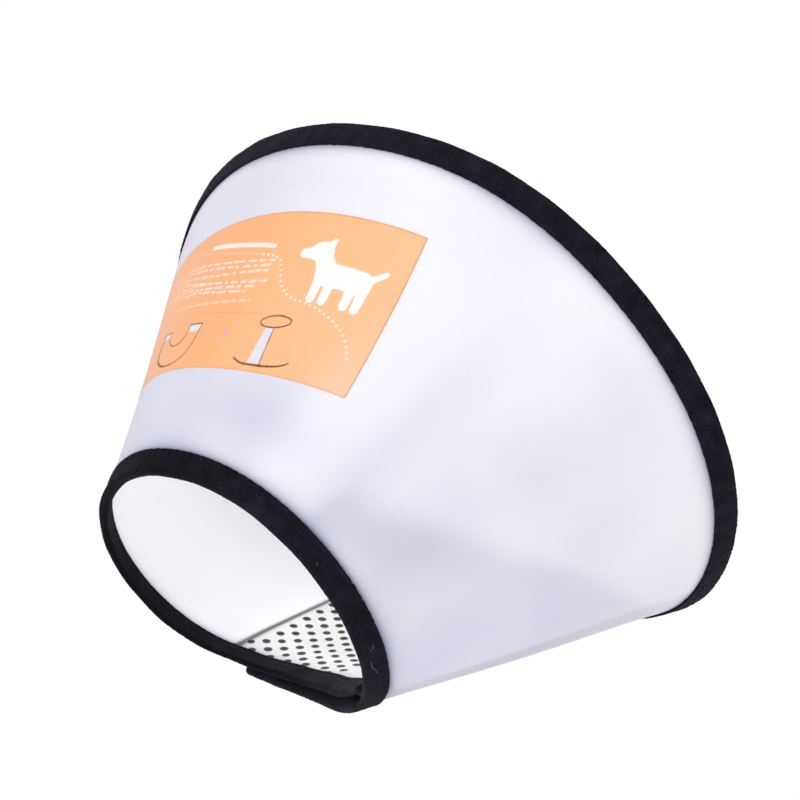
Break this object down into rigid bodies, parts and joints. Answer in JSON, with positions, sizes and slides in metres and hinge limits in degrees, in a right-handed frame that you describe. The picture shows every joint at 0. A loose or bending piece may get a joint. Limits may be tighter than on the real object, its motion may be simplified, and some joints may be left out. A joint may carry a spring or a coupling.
{
  "type": "elizabethan collar",
  "caption": "Flexible recovery cone for a pet: a frosted plastic sheet rolled into a truncated cone, edges bound in dark tape, closed by an overlapping hook-and-loop flap.",
  "frame": {"origin": "centre of the neck opening, level with the top edge of the binding's round land", "axes": "+Z along the cone's axis, out of the neck end; -Y is the front; the printed panel faces +X"},
  "size_m": [0.2729, 0.2682, 0.1379],
  "materials": {
    "frosted_sheet": "frosted, translucent",
    "binding_tape": "short knitted pile",
    "thread": "matte",
    "hook_tape": "moulded hooks with weld dots",
    "loop_tape": "brushed loops",
    "printed_film": "satin print"
  },
  "bodies": {
    "back": {"sheet_back": "frosted_sheet", "neck_binding_back": "binding_tape", "rim_binding_back": "binding_tape", "neck_needle_thread_back": "thread", "neck_bobbin_thread_back": "thread", "rim_needle_thread_back": "thread", "rim_bobbin_thread_back": "thread", "printed_panel": "printed_film", "tongue_hook_tape": "hook_tape"},
    "side": {"sheet_side": "frosted_sheet", "neck_binding_side": "binding_tape", "rim_binding_side": "binding_tape", "neck_needle_thread_side": "thread", "neck_bobbin_thread_side": "thread", "rim_needle_thread_side": "thread", "rim_bobbin_thread_side": "thread"},
    "flap": {"sheet_flap": "frosted_sheet", "neck_binding_flap": "binding_tape", "rim_binding_flap": "binding_tape", "neck_needle_thread_flap": "thread", "neck_bobbin_thread_flap": "thread", "rim_needle_thread_flap": "thread", "rim_bobbin_thread_flap": "thread", "flap_loop_tape": "loop_tape"}
  },
  "joints": [
    {"name": "side_opening", "type": "hinge", "parent": "back", "child": "side", "pos_m": [0.02031, -0.09555, -0.06793], "axis": [-0.0981, 0.4614, 0.8818], "range_deg": [0, 80]},
    {"name": "flap_peel", "type": "hinge", "parent": "side", "child": "flap", "pos_m": [-0.10164, -0.01016, -0.06793], "axis": [0.4671, 0.0656, 0.8818], "range_deg": [0, 70]}
  ]
}
